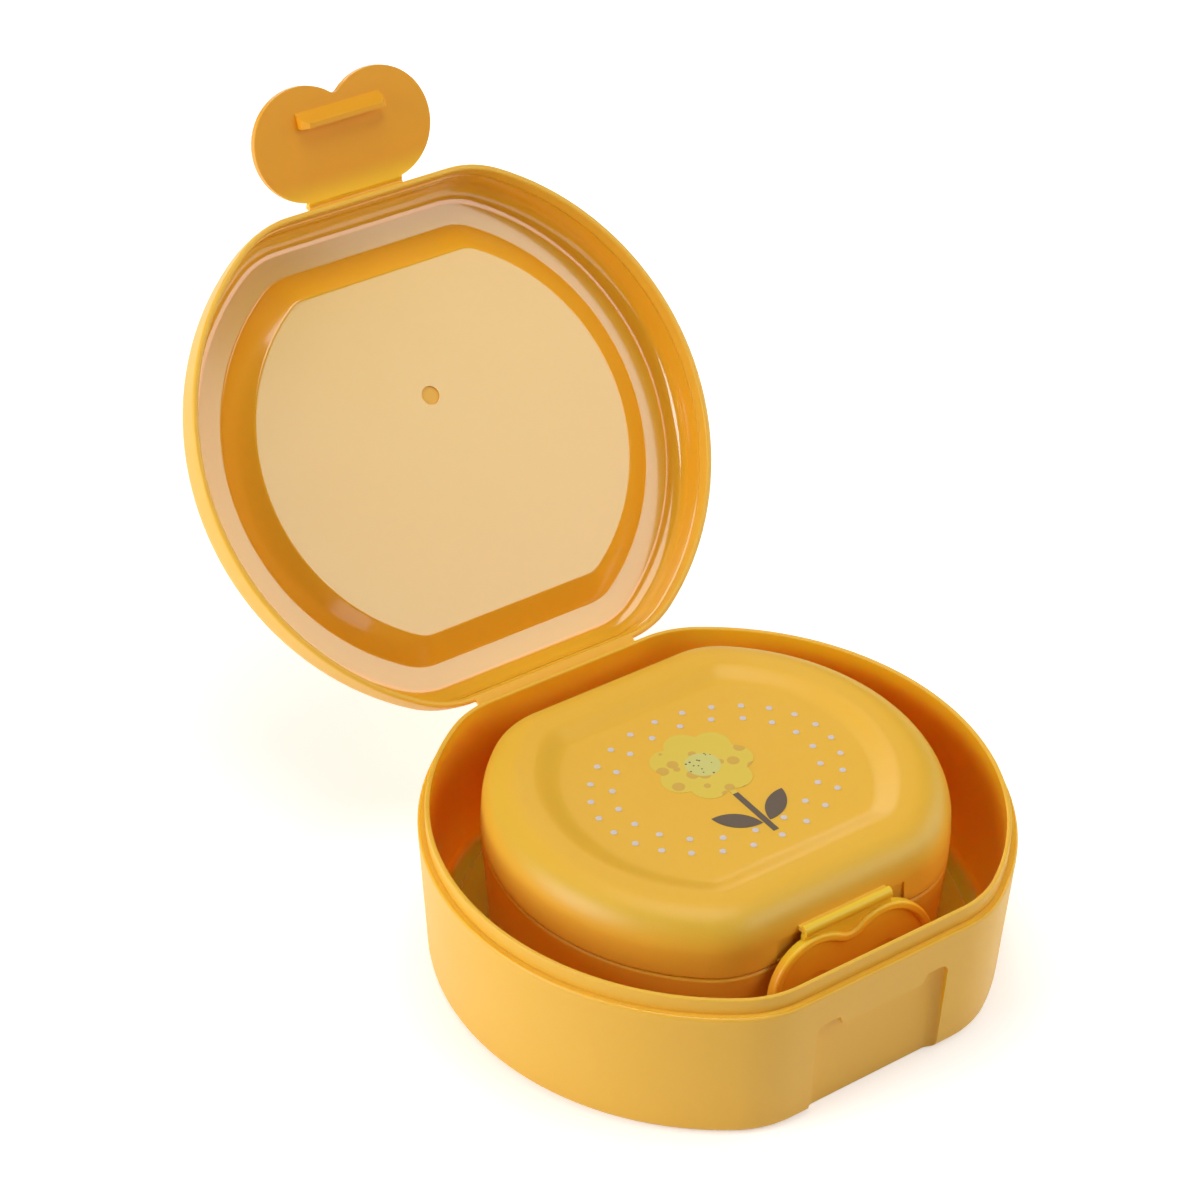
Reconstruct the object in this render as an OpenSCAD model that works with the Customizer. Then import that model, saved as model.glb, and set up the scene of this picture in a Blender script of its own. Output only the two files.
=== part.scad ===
// Toddler snack container: a small clip-lid box nested in a larger one of the same design.
// Each box is a moulded base, a domed lid on a living hinge and a two-lobed front latch.
// The origin is the centre of the large base's foot. The front, with the latch, faces -Y.

/* [Large box] */
// Half of the width of the closed box
large_half_w = 75; // [72:0.5:77]
// Size of the triangle that places the corners' centres: more makes the corners tighter
large_corner_step = 0.88; // [0.84:0.01:0.92]
// Height of the base, up to the shoulder that the lid meets
large_base_h = 39; // [37:0.5:44]
// Height of the lid above the shoulder
large_lid_h = 17; // [16:0.5:19]
// How far the middle of the lid is sunk below its raised ring
large_panel_drop = 5.2; // [3:0.1:5.4]
// How far the lid is open
large_lid_open = 131; // [0:1:180]
// How far the latch is swung out from the wall
large_latch_open = 70; // [0:1:135]
// Radius of each round lobe of the latch
large_lobe_r = 15.4; // [14.5:0.1:15.8]
// How far each lobe's centre is from the middle
large_lobe_x = 11.3; // [10.5:0.1:11.6]
// Half of the width of the latch's strap
large_strap_half_w = 14.4; // [13:0.1:14.6]

/* [Small box] */
// Half of the width of the closed box
small_half_w = 59.3; // [58.5:0.1:60]
// Size of the triangle that places the corners' centres: more makes the corners tighter
small_corner_step = 0.112; // [0.109:0.001:0.113]
// Height of the base, up to the shoulder that the lid meets
small_base_h = 29.5; // [27:0.5:30]
// Height of the lid above the shoulder
small_lid_h = 16.3; // [15.5:0.1:16.5]
// How far the middle of the lid is sunk below its raised ring
small_panel_drop = 2; // [1:0.1:4]
// How far the lid is open
small_lid_open = 0; // [0:1:44]
// How far the latch hangs out from the wall
small_latch_open = 12; // [0:1:20]
// Radius of each round lobe of the latch
small_lobe_r = 14.6; // [14:0.1:15.4]
// How far each lobe's centre is from the middle
small_lobe_x = 10.4; // [10:0.1:11.4]
// Half of the width of the latch's strap
small_strap_half_w = 13.2; // [12.5:0.1:14.4]
// Where the small box stands in the large one, to the side
small_x = 3; // [-4:0.5:4]
// Where the small box stands in the large one, towards the back
small_y = 4.6; // [0:0.2:5]

/* [Walls] */
// How far the wall draws in from the shoulder down to the foot
wall_draft = 1.9; // [1:0.1:2.2]
// Thickness of the wall near the floor
wall_t = 1.7; // [1.5:0.1:1.8]
// Thickness of the lid, and of the floor beside the wall
skin_t = 1.6; // [1.4:0.1:1.8]
// Radius of the edge round the foot
foot_r = 2.4; // [1:0.1:2.8]
// Width of the low border of the floor, from the wall's foot
floor_border = 6.5; // [5:0.5:7]
// How far the floor inside that border is raised
floor_rise = 0.6; // [0.3:0.1:0.8]

/* [Rim] */
// Height of the lip that enters the lid
lip_h = 4.3; // [3:0.1:4.5]
// How far the lip is set in from the outer wall
lip_inset = 1.9; // [1.8:0.1:2]
// Thickness of the lip
lip_t = 1.2; // [1:0.1:1.4]
// Clearance between the lip and the lid
lip_gap = 0.3; // [0.25:0.05:0.35]
// Gap between the shoulder and the rim of the closed lid
rim_gap = 0.15; // [0.1:0.05:0.3]

/* [Lid] */
// Radius that rounds the lid's side into its top
dome_r = 9.8; // [8:0.2:10]
// How far in from the edge the raised ring ends
ring_end = 13; // [12.5:0.1:13.5]
// How far in from the edge the sunk middle begins
panel_start = 20.4; // [19.5:0.1:20.6]
// Radius of the moulding gate's dimple in the middle of the lid, inside
gate_r = 2.6; // [1.5:0.1:3]
// How far that dimple is in front of the middle
gate_y = 12.5; // [0:0.5:20]

/* [Latch] */
// Height of the latch's fold line above the shoulder
fold_h = 8.4; // [8:0.1:8.8]
// How far the fold line stands out from the flat front
fold_out = 1.4; // [1.3:0.1:1.6]
// How far the lobes' centres are below the fold line
lobe_drop = 16.9; // [16.5:0.1:18]
// Thickness of the latch, with the raised rim round its lobes
latch_t = 2.6; // [2.4:0.1:2.8]
// How far that rim stands up from the plate
latch_rim_h = 1.1; // [0.8:0.1:1.2]
// Width of the rim
latch_rim_w = 2.3; // [1.8:0.1:2.6]
// Radius of the shallow dimple in the middle of each lobe
dimple_r = 4.5; // [3:0.1:5.5]
// How far the catch rib stands out from the latch
rib_out = 4; // [3.6:0.1:4.2]
// Thickness of the catch rib where it leaves the latch
rib_root_t = 4.2; // [3:0.1:4.4]
// Thickness of the rib at its tip
rib_tip_t = 1.3; // [1:0.1:1.6]
// Half of the length of the catch rib
rib_half_l = 12.8; // [11.5:0.1:13]
// How far the rib's upper side is below the fold line
rib_drop = 21.4; // [21:0.1:22]

/* [Latch recess] */
// Half of the width of the recess in the base's front
recess_half_w = 20; // [19:0.5:21]
// Depth of the recess, from the shoulder's face
recess_in = 4; // [3.8:0.1:4.2]
// Radius of the recess's upright corners
recess_r = 3; // [2:0.5:3.5]
// Radius of the two upper corners of its opening
recess_top_r = 2.5; // [1:0.1:2.8]
// Clearance between the rib and the ledge over it
ledge_gap = 0.35; // [0.3:0.05:0.5]
// Half of the width of the ledge
ledge_half_w = 12.2; // [11.5:0.1:12.8]
// How far each end of the ledge slants outwards
ledge_slant = 1.1; // [0:0.1:1.5]
// How much higher the recess reaches beside the ledge
notch_rise = 2.9; // [2:0.1:3.5]
// Half of the width of the seat behind the strap
seat_half_w = 19.5; // [18:0.5:20]
// Depth of that seat
seat_in = 0.7; // [0.5:0.1:0.8]

/* [Hinge] */
// Half of the length of the lid's hinge strip
hinge_half_l = 25; // [20:0.5:26]
// How far the lid's fold line stands out from the flat back
hinge_out = 1.9; // [1.8:0.1:2.1]
// How far the lid's fold line is below the shoulder
hinge_drop = 1; // [0.9:0.1:1.2]

/* [Print] */
// Thickness of the printed film
print_t = 0.12; // [0.08:0.02:0.2]
// Radius of each petal
petal_r = 5; // [4:0.2:5.5]
// Number of petals
petals = 7; // [5:1:9]
// Radius of the small printed dots
dot_r = 0.85; // [0.6:0.05:1.1]

/* [Hidden] */
$fn = 96;

// The corners' centres lie on the long side of a right triangle with whole-number sides, so that
// the side's arc and the corner's arc meet exactly: across, along, and the long side.
large_triangle = [28, 45, 53];
small_triangle = [204, 253, 325];

// A box is its half width, half depth, corner radius, base height, lid height, panel drop, how far
// its corners' centres are from the middle, and its latch: lobe radius, lobe place, half strap.
function box_of(half_w, step, triangle, base_h, lid_h, drop, latch) =
    let (corner = half_w - step * triangle[2])
        concat([half_w, step * triangle[1] + corner, corner, base_h, lid_h, drop,
            step * triangle[0], step * triangle[1]], latch);
large = box_of(large_half_w, large_corner_step, large_triangle, large_base_h, large_lid_h, large_panel_drop,
    [large_lobe_r, large_lobe_x, large_strap_half_w]);
small = box_of(small_half_w, small_corner_step, small_triangle, small_base_h, small_lid_h, small_panel_drop,
    [small_lobe_r, small_lobe_x, small_strap_half_w]);

floor_top = skin_t + floor_rise;
shoulder_r = 0.8;      // rounding of the shoulder's outer edge
lip_r = 0.4;           // rounding of the lip's top
cove_r = 2.5;          // rounding between floor and wall, inside
section_end = 14;      // how far in a base's swept section reaches
lid_section_end = 21;  // how far in a lid's swept section reaches
lid_side_h = 6.5;      // height of the lid's straight side
lid_draft = 0.2;       // how far that side draws in
lid_lap = 0.2;         // how far the lid's inside steps in above the lip
wall_lean = 4;         // where the foot's rounding ends, short of upright
gate_depth = 0.5;      // depth of the moulding gate's dimple
arc_steps = 6;
bend_steps = 8;
overlap = 0.01;        // cutters reach this far past the faces that they open
reach = 3;             // the outline's sectors reach this many times past the corners' centres
far = 200;

bar_r = 0.7;           // the round fold of each hinge strip
bar_gap = 0.06;        // running clearance round it
knuckle_t = 0.84;      // wall that wraps round the fold
tab_t = 0.8;           // thickness of the strip beside the fold
lid_wrap = [42, 141];  // directions between which the lid wraps round its fold
strap_wrap = [-180, -55];
strap_top = -1.5;      // where the strap's full thickness begins, below the fold line
latch_air = 0.4;       // gap between the front and the closed latch
notch_r = 2;           // rounding of the notch below the lobes
strap_notch_r = 5;     // rounding of the rim's dip before the strap
shelf_t = 1.2;         // thickness of the moulded shelves that the strips join
shelf_out = 0.6;       // how far those shelves stand out from the wall

body_colour = "#E8B045";
latch_colour = "#E5A93C";
strip_colour = "#F0C468";
print_colour = "#E9CB4D";

// ---- Outline: a circle cut by a flat front and back, with rounded corners ----

// Points of an arc about (x, y) from one angle to another.
function arc(x, y, r, from, to, steps) =
    [for (i = [0:steps]) let (a = from + (to - from) * i / steps) [x + r * cos(a), y + r * sin(a)]];

// Draws what it is given in all four quarters.
module in_quarters() {
    for (side = [0, 1], face = [0, 1])
        mirror([side, 0, 0])
            mirror([0, face, 0])
                children();
}

// The stretches of the outline meet along the lines through the corners' centres.
module side_sector(b) {
    polygon([[0, 0], [reach * b[6], -reach * b[7]], [far, -reach * b[7]], [far, reach * b[7]],
        [reach * b[6], reach * b[7]]]);
}

module corner_sector(b) {
    polygon([[b[6], b[7]], [reach * b[6], reach * b[7]], [b[6], reach * b[7]]]);
}

// Sweeps a wall section round the outline. The section lies at x <= 0, with x = 0 on the outline.
module around(b) {
    for (side = [0, 1])
        mirror([side, 0, 0])
            intersection() {
                rotate_extrude()
                    translate([b[0], 0])
                        children();
                linear_extrude(far, center = true)
                    side_sector(b);
            }
    in_quarters()
        intersection() {
            translate([b[6], b[7], 0])
                rotate_extrude()
                    translate([b[2], 0])
                        children();
            linear_extrude(far, center = true)
                corner_sector(b);
        }
    for (face = [0, 1])
        mirror([0, face, 0])
            translate([-b[6], b[1], 0])
                rotate([90, 0, 90])
                    linear_extrude(2 * b[6])
                        children();
}

// The outline as a flat shape, set in by a distance.
module outline(b, inset) {
    square([2 * b[6], 2 * (b[1] - inset)], center = true);
    for (side = [0, 1])
        mirror([side, 0])
            intersection() {
                circle(b[0] - inset);
                side_sector(b);
            }
    in_quarters()
        intersection() {
            translate([b[6], b[7]])
                circle(b[2] - inset);
            corner_sector(b);
        }
}

// ---- Base ----

// Wall, floor border and lip of a base, as [in from the outline, height], drawn at x <= 0.
module base_section(b) {
    h = b[3];
    foot_x = -wall_draft;
    inner_x = foot_x - wall_t;
    lip_in = -lip_inset - lip_t;
    ring_in = foot_x - floor_border;
    polygon(concat(
        arc(foot_x - foot_r, foot_r, foot_r, -90, -wall_lean, arc_steps),
        arc(-shoulder_r, h - shoulder_r, shoulder_r, 0, 90, arc_steps),
        [[-lip_inset, h]],
        arc(-lip_inset - lip_r, h + lip_h - lip_r, lip_r, 0, 90, 3),
        arc(lip_in + lip_r, h + lip_h - lip_r, lip_r, 90, 180, 3),
        arc(inner_x - cove_r, skin_t + cove_r, cove_r, 0, -90, arc_steps),
        [[ring_in, skin_t], [ring_in - floor_rise, floor_top]],
        [[-section_end, floor_top], [-section_end, 0]]
    ));
}

// Height of the ledge that the catch rib hooks under.
function ledge_z(b) = b[3] + fold_h - rib_drop + ledge_gap;

// The recess's opening from the front: rounded above, with the ledge between two notches.
module recess_opening(b) {
    high = ledge_z(b) + notch_rise;
    flat = recess_half_w - recess_top_r;
    slanted = ledge_half_w + ledge_slant;
    difference() {
        union() {
            translate([-recess_half_w, -overlap])
                square([2 * recess_half_w, high - recess_top_r + overlap]);
            translate([-flat, 0])
                square([2 * flat, high]);
            for (side = [-1, 1])
                translate([side * flat, high - recess_top_r])
                    circle(recess_top_r);
        }
        polygon([
            [-ledge_half_w, ledge_z(b)], [ledge_half_w, ledge_z(b)],
            [slanted, high], [slanted, high + 1], [-slanted, high + 1], [-slanted, high]
        ]);
    }
}

// The recess under the latch, open at the front and the foot.
module recess_cut(b) {
    depth = recess_in + 1;
    flat = recess_half_w - recess_r;
    intersection() {
        translate([0, -b[1] - 1, -1])
            linear_extrude(b[3]) {
                translate([-recess_half_w, 0])
                    square([2 * recess_half_w, depth - recess_r]);
                translate([-flat, 0])
                    square([2 * flat, depth]);
                for (side = [-1, 1])
                    translate([side * flat, depth - recess_r])
                        circle(recess_r);
            }
        rotate([90, 0, 0])
            linear_extrude(far)
                recess_opening(b);
    }
}

// The wall keeps its thickness behind the recess, as a pad inside the base.
module recess_backing(b) {
    half_w = recess_half_w + wall_t;
    bottom = skin_t / 2;
    translate([-half_w, -b[1] + recess_in - wall_t / 2, bottom])
        cube([2 * half_w, 1.5 * wall_t, ledge_z(b) + notch_rise + wall_t - bottom]);
}

module base(b) {
    difference() {
        union() {
            around(b)
                base_section(b);
            linear_extrude(floor_top)
                outline(b, section_end - 1);
            recess_backing(b);
        }
        recess_cut(b);
    }
    hinge_shelf(b);
}

// A low shelf along the back of the base that the hinge strip joins.
module hinge_shelf(b) {
    top = b[3] - hinge_drop + tab_t / 2;
    translate([-hinge_half_l, b[1] - 1, top - shelf_t])
        cube([2 * hinge_half_l, 1 + shelf_out, shelf_t]);
}

// ---- Lid, drawn closed on its base ----

// A soft step down from the raised ring to the sunk middle, from one inset to another.
function step_down(from, to, high, drop, steps) =
    [for (i = [0:steps]) [-(from + (to - from) * i / steps), high - drop * (1 - cos(180 * i / steps)) / 2]];

function reversed(list) = [for (i = [len(list) - 1:-1:0]) list[i]];

module lid_section(b) {
    h = b[4];
    drop = b[5];
    rim_in = lip_inset - lip_gap;
    dome_y = h - dome_r;
    inner_r = dome_r - skin_t;
    inner_top = h - skin_t;
    side_in = rim_in + lid_draft + lid_lap;
    polygon(concat(
        [[0, rim_gap], [0, lid_side_h / 2]],
        arc(-lid_draft - dome_r, dome_y, dome_r, 0, 90, bend_steps),
        step_down(ring_end, panel_start, h, drop, bend_steps),
        [[-lid_section_end, h - drop], [-lid_section_end, inner_top - drop]],
        reversed(step_down(ring_end, panel_start, inner_top, drop, bend_steps)),
        arc(-side_in - inner_r, dome_y, inner_r, 90, 0, bend_steps),
        [[-side_in, lip_h + lip_gap + lid_lap], [-rim_in, lip_h + lip_gap], [-rim_in, rim_gap]]
    ));
}

module lid(b) {
    difference() {
        union() {
            translate([0, 0, b[3]]) {
                around(b)
                    lid_section(b);
                translate([0, 0, b[4] - b[5] - skin_t])
                    linear_extrude(skin_t)
                        outline(b, lid_section_end - 0.5);
            }
            fold_shelf(b);
        }
        seat_cut(b);
        translate([0, -gate_y, b[3] + b[4] - b[5] - skin_t - 1])
            cylinder(h = 1 + gate_depth, r = gate_r);
    }
    lid_knuckle(b);
}

// The flat seat behind the strap, sunk in the lid's front.
module seat_cut(b) {
    top = fold_h - shelf_t;
    bottom = 0.9;
    translate([-seat_half_w, -b[1] - 1, b[3] + bottom])
        cube([2 * seat_half_w, 1 + seat_in, top - bottom]);
}

// A low shelf over the seat that the latch's hinge strip joins.
module fold_shelf(b) {
    depth = 1.5;
    translate([-b[10], -b[1] - shelf_out, b[3] + fold_h - shelf_t / 2])
        cube([2 * b[10], depth + shelf_out, shelf_t]);
}

// A solid sector round a hinge strip's fold, from one direction to another.
module knuckle_sector(from, to) {
    outer_r = bar_r + bar_gap + knuckle_t;
    intersection() {
        circle(outer_r);
        polygon(concat([[0, 0]], arc(0, 0, 2 * outer_r, from, to, arc_steps)));
    }
}

// The lid's edge wraps over the round fold of its hinge strip. The wrap stops short of the
// strip's tab, also when the lid is folded right back.
module lid_knuckle(b) {
    translate([-hinge_half_l, b[1] + hinge_out, b[3] - hinge_drop])
        rotate([90, 0, 90])
            linear_extrude(2 * hinge_half_l)
                difference() {
                    union() {
                        knuckle_sector(lid_wrap[0], lid_wrap[1]);
                        translate([-hinge_out - 1, hinge_drop + rim_gap])
                            square([hinge_out + 1, shelf_t]);
                    }
                    circle(bar_r + bar_gap);
                }
}

// ---- Hinge strips ----

// A thin strip with a round fold. It lies along X, with the fold on the axis and its tab towards +Y.
module hinge_strip(half_l, tab_l) {
    translate([-half_l, 0, 0])
        rotate([90, 0, 90])
            linear_extrude(2 * half_l) {
                circle(bar_r);
                translate([0, -tab_t / 2])
                    square([tab_l, tab_t]);
            }
}

module lid_hinge_strip(b) {
    translate([0, b[1] + hinge_out, b[3] - hinge_drop])
        rotate([0, 0, 180])
            hinge_strip(hinge_half_l, hinge_out - shelf_out);
}

module latch_hinge_strip(b) {
    translate([0, -b[1] - fold_out, b[3] + fold_h])
        hinge_strip(b[10], fold_out - shelf_out);
}

// ---- Latch, drawn closed, hanging from its fold line on the X axis, with its back towards +Y ----

// Two lobes side by side, grown or shrunk by a distance, with the notches between them filled to
// a radius below and to another above.
module lobes(b, grow, low_r, high_r) {
    r = b[8] + grow;
    x = b[9];
    low_y = sqrt(pow(r + low_r, 2) - pow(x, 2));
    high_y = sqrt(pow(r + high_r, 2) - pow(x, 2));
    for (side = [-1, 1])
        translate([side * x, 0])
            circle(r);
    difference() {
        polygon([[-x, 0], [0, high_y], [x, 0], [0, -low_y]]);
        translate([0, high_y])
            circle(high_r);
        translate([0, -low_y])
            circle(low_r);
    }
}

// The lobes and the strap above them, as the latch's front shows them.
module latch_front(b) {
    translate([0, -lobe_drop])
        lobes(b, 0, notch_r, strap_notch_r);
    translate([-b[10], -lobe_drop])
        square([2 * b[10], lobe_drop + strap_top]);
}

// A plate with a closed rim round the lobes, and a dimple in the middle of each.
module latch(b) {
    dimple_depth = 0.4;
    back_y = fold_out - latch_air;
    plate_t = latch_t - latch_rim_h;
    translate([0, back_y, 0])
        rotate([90, 0, 0])
            difference() {
                union() {
                    linear_extrude(plate_t)
                        latch_front(b);
                    translate([0, -lobe_drop])
                        linear_extrude(latch_t)
                            lobes(b, 0, notch_r, strap_notch_r);
                }
                translate([0, -lobe_drop, plate_t])
                    linear_extrude(latch_rim_h + 1)
                        lobes(b, -latch_rim_w, notch_r + latch_rim_w, strap_notch_r + latch_rim_w);
                for (side = [-1, 1])
                    translate([side * b[9], -lobe_drop, plate_t - dimple_depth])
                        cylinder(h = latch_rim_h + 1, r = dimple_r);
            }
    catch_rib(back_y);
    strap_knuckle(b);
}

// The rib on the latch's back: flat above, sloped below, with its ends cut off at a slant.
module catch_rib(back_y) {
    chamfer = 1.6;
    inner_l = rib_half_l - chamfer;
    tip = back_y + rib_out;
    low_z = -rib_drop - rib_root_t;
    intersection() {
        translate([0, 0, low_z - overlap])
            linear_extrude(rib_root_t + 2 * overlap)
                polygon([
                    [-rib_half_l, back_y], [rib_half_l, back_y], [rib_half_l, tip - chamfer],
                    [inner_l, tip], [-inner_l, tip], [-rib_half_l, tip - chamfer]
                ]);
        translate([-rib_half_l - overlap, 0, 0])
            rotate([90, 0, 90])
                linear_extrude(2 * (rib_half_l + overlap))
                    polygon([
                        [back_y - overlap, -rib_drop], [tip + overlap, -rib_drop],
                        [tip + overlap, -rib_drop - rib_tip_t], [tip, -rib_drop - rib_tip_t],
                        [back_y, low_z], [back_y - overlap, low_z]
                    ]);
    }
}

// The strap's end rolls under and before the round fold of its hinge strip.
module strap_knuckle(b) {
    plate_t = latch_t - latch_rim_h;
    front = fold_out - latch_air - plate_t;
    neck_h = 0.35;
    neck_back = 0.2;
    translate([-b[10], 0, 0])
        rotate([90, 0, 90])
            linear_extrude(2 * b[10])
                difference() {
                    union() {
                        knuckle_sector(strap_wrap[0], strap_wrap[1]);
                        translate([front, strap_top])
                            square([plate_t - neck_back, neck_h]);
                    }
                    circle(bar_r + bar_gap);
                }
}

// ---- Print on the small lid ----

// A flower with two leaves, with rings of small dots round it.
module print_motif() {
    head_y = 6;
    head_r = 6.5;
    petal_at = 8.5;
    stem_w = 1.6;
    stem_l = 22;
    stem_foot = head_y - petal_at - stem_l;
    leaf_r = 9;
    leaf_half_w = 2.6;
    leaf_x = 6;
    leaf_up = 8;
    leaf_turn = 50;
    translate([0, head_y]) {
        circle(head_r);
        for (i = [0:petals - 1])
            rotate([0, 0, 360 * i / petals + 90])
                translate([petal_at, 0])
                    circle(petal_r);
    }
    translate([-stem_w / 2, stem_foot])
        square([stem_w, stem_l]);
    for (side = [-1, 1])
        translate([side * leaf_x, stem_foot + leaf_up])
            rotate([0, 0, -side * leaf_turn])
                intersection() {
                    translate([-leaf_r + leaf_half_w, 0])
                        circle(leaf_r);
                    translate([leaf_r - leaf_half_w, 0])
                        circle(leaf_r);
                }
}

// A ring of dots, flattened to the lid's shape.
module dot_ring(half_w, count) {
    flatness = 0.79;
    for (i = [0:count - 1])
        let (a = 360 * (i + 0.5) / count)
            translate([half_w * cos(a), flatness * half_w * sin(a)])
                circle(dot_r);
}

module print(b) {
    outer_ring_r = 34;
    inner_ring_r = 28;
    outer_dots = 26;
    inner_dots = 20;
    translate([0, 0, b[3] + b[4] - b[5]])
        linear_extrude(print_t) {
            print_motif();
            dot_ring(outer_ring_r, outer_dots);
            dot_ring(inner_ring_r, inner_dots);
        }
}

// ---- Where things are: folded about their hinges, and the small box in the large one ----

module folded_lid(b, angle) {
    axis = [0, b[1] + hinge_out, b[3] - hinge_drop];
    translate(axis)
        rotate([-angle, 0, 0])
            translate(-axis)
                children();
}

module folded_latch(b, angle) {
    translate([0, -b[1] - fold_out, b[3] + fold_h])
        rotate([-angle, 0, 0])
            latch(b);
}

module nested() {
    translate([small_x, small_y, floor_top])
        children();
}

module outer_base() {
    color(body_colour)
        base(large);
}

module outer_lid_hinge_strip() {
    color(strip_colour)
        lid_hinge_strip(large);
}

module outer_lid() {
    color(body_colour)
        folded_lid(large, large_lid_open)
            lid(large);
}

module outer_latch_hinge_strip() {
    color(strip_colour)
        folded_lid(large, large_lid_open)
            latch_hinge_strip(large);
}

module outer_latch() {
    color(latch_colour)
        folded_lid(large, large_lid_open)
            folded_latch(large, large_latch_open);
}

module inner_base() {
    color(body_colour)
        nested()
            base(small);
}

module inner_lid_hinge_strip() {
    color(strip_colour)
        nested()
            lid_hinge_strip(small);
}

module inner_lid() {
    color(body_colour)
        nested()
            folded_lid(small, small_lid_open)
                lid(small);
}

module inner_latch_hinge_strip() {
    color(strip_colour)
        nested()
            folded_lid(small, small_lid_open)
                latch_hinge_strip(small);
}

module inner_latch() {
    color(latch_colour)
        nested()
            folded_lid(small, small_lid_open)
                folded_latch(small, small_latch_open);
}

module inner_lid_print() {
    color(print_colour)
        nested()
            folded_lid(small, small_lid_open)
                print(small);
}

outer_base();
outer_lid_hinge_strip();
outer_lid();
outer_latch_hinge_strip();
outer_latch();
inner_base();
inner_lid_hinge_strip();
inner_lid();
inner_latch_hinge_strip();
inner_latch();
inner_lid_print();
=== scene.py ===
import bpy
import math
from mathutils import Matrix, Vector


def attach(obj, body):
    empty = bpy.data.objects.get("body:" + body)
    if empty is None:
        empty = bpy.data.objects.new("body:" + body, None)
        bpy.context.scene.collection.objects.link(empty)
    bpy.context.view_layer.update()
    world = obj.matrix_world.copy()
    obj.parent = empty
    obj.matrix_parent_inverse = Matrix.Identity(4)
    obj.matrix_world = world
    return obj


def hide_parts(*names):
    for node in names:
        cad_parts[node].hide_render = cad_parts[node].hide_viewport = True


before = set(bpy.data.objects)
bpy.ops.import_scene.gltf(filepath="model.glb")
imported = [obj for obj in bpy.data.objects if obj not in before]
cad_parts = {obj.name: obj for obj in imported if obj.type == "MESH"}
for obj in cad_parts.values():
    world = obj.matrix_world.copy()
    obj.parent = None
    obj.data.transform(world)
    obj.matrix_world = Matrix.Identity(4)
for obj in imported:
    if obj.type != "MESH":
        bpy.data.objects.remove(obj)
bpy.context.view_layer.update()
mm = 0.001
past = 1  # in mm: how far a cutter, or the buried side of a joined piece, reaches past a face
samePlace = 1e-7  # in metres
sharpAngle = math.radians(40)  # edges that bend more than this are rounded
print("frame loaded:", len(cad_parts), "CAD nodes")


# drawing tools: sizes come in millimetres

def pickNone():
    if bpy.context.object and bpy.context.object.mode != "OBJECT":
        bpy.ops.object.mode_set(mode="OBJECT")
    bpy.ops.object.select_all(action="DESELECT")


def pickOnly(obj):
    pickNone()
    obj.select_set(True)
    bpy.context.view_layer.objects.active = obj


def drawLine(name, points):
    # a plane merged to one point, from which the line is drawn; it is left in edit mode
    pickNone()
    bpy.ops.mesh.primitive_plane_add(size=mm)
    obj = bpy.context.object
    obj.name = obj.data.name = name
    bpy.ops.object.mode_set(mode="EDIT")
    bpy.ops.mesh.select_all(action="SELECT")
    bpy.ops.mesh.merge(type="CENTER")
    bpy.ops.transform.translate(value=Vector(points[0]) * mm)
    for here, there in zip(points, points[1:]):
        step = (Vector(there) - Vector(here)) * mm
        bpy.ops.mesh.extrude_vertices_move(TRANSFORM_OT_translate={"value": step})
    bpy.ops.mesh.select_all(action="SELECT")
    return obj


def arcPoints(x, y, radius, start, end, steps):
    turns = [math.radians(start + (end - start) * i / steps) for i in range(steps + 1)]
    return [(x + radius * math.cos(t), y + radius * math.sin(t)) for t in turns]


def sectionArc(inset, height, radius, start, end, steps):
    # in a wall section a point is given by how far in from the outline it lies, and its height
    return [(-x, z) for x, z in arcPoints(-inset, height, radius, start, end, steps)]


def closeMesh(weld=0.005):
    # the last ring of points meets the first, then what is open is filled
    bpy.ops.mesh.select_all(action="SELECT")
    bpy.ops.mesh.remove_doubles(threshold=weld * mm)
    bpy.ops.mesh.select_all(action="SELECT")
    bpy.ops.mesh.fill_holes(sides=0)
    bpy.ops.mesh.select_all(action="SELECT")
    bpy.ops.mesh.normals_make_consistent(inside=False)
    bpy.ops.object.mode_set(mode="OBJECT")


sweepShape = {"cornerSteps": 9, "sideSteps": 44, "flatShares": (0.02, 0.96, 0.02)}


def sweepRound(name, section, size, s):
    # the wall section goes once round the outline: corner, round side, corner, flat back, and so on
    x, y, r = size["cornerX"], size["cornerY"], size["cornerR"]
    obj = drawLine(name, [(x, inset - y - r, height) for inset, height in section])
    seam = math.atan2(y, x)
    for sign in (1, -1):
        turns = [((sign * x, -sign * y), math.pi / 2 - seam, s["cornerSteps"]),
                 ((0, 0), 2 * seam, s["sideSteps"]),
                 ((sign * x, sign * y), math.pi / 2 - seam, s["cornerSteps"])]
        for centre, angle, steps in turns:
            bpy.ops.mesh.spin(steps=steps, angle=-angle, axis=(0, 0, 1),
                              center=(centre[0] * mm, centre[1] * mm, 0))
        for share in s["flatShares"]:  # short ends keep the flat wall's shading flat
            step = (-2 * sign * x * share * mm, 0, 0)
            bpy.ops.mesh.extrude_edges_move(TRANSFORM_OT_translate={"value": step})
    closeMesh()
    return obj


def pushed(name, outline, push):
    # a closed outline, filled and pushed along into a solid
    obj = drawLine(name, outline)
    bpy.ops.mesh.edge_face_add()
    bpy.ops.mesh.select_all(action="SELECT")
    step = [part * mm for part in push]
    bpy.ops.mesh.extrude_region_move(TRANSFORM_OT_translate={"value": step})
    closeMesh()
    return obj


def pushedBack(name, outline, start, depth):
    # an outline in the XZ plane, drawn at Y = start
    return pushed(name, [(x, start, z) for x, z in outline], (0, depth, 0))


def pushedAcross(name, outline, half):
    # an outline in the YZ plane, from X = -half to X = half
    return pushed(name, [(-half, y, z) for y, z in outline], (2 * half, 0, 0))


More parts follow.
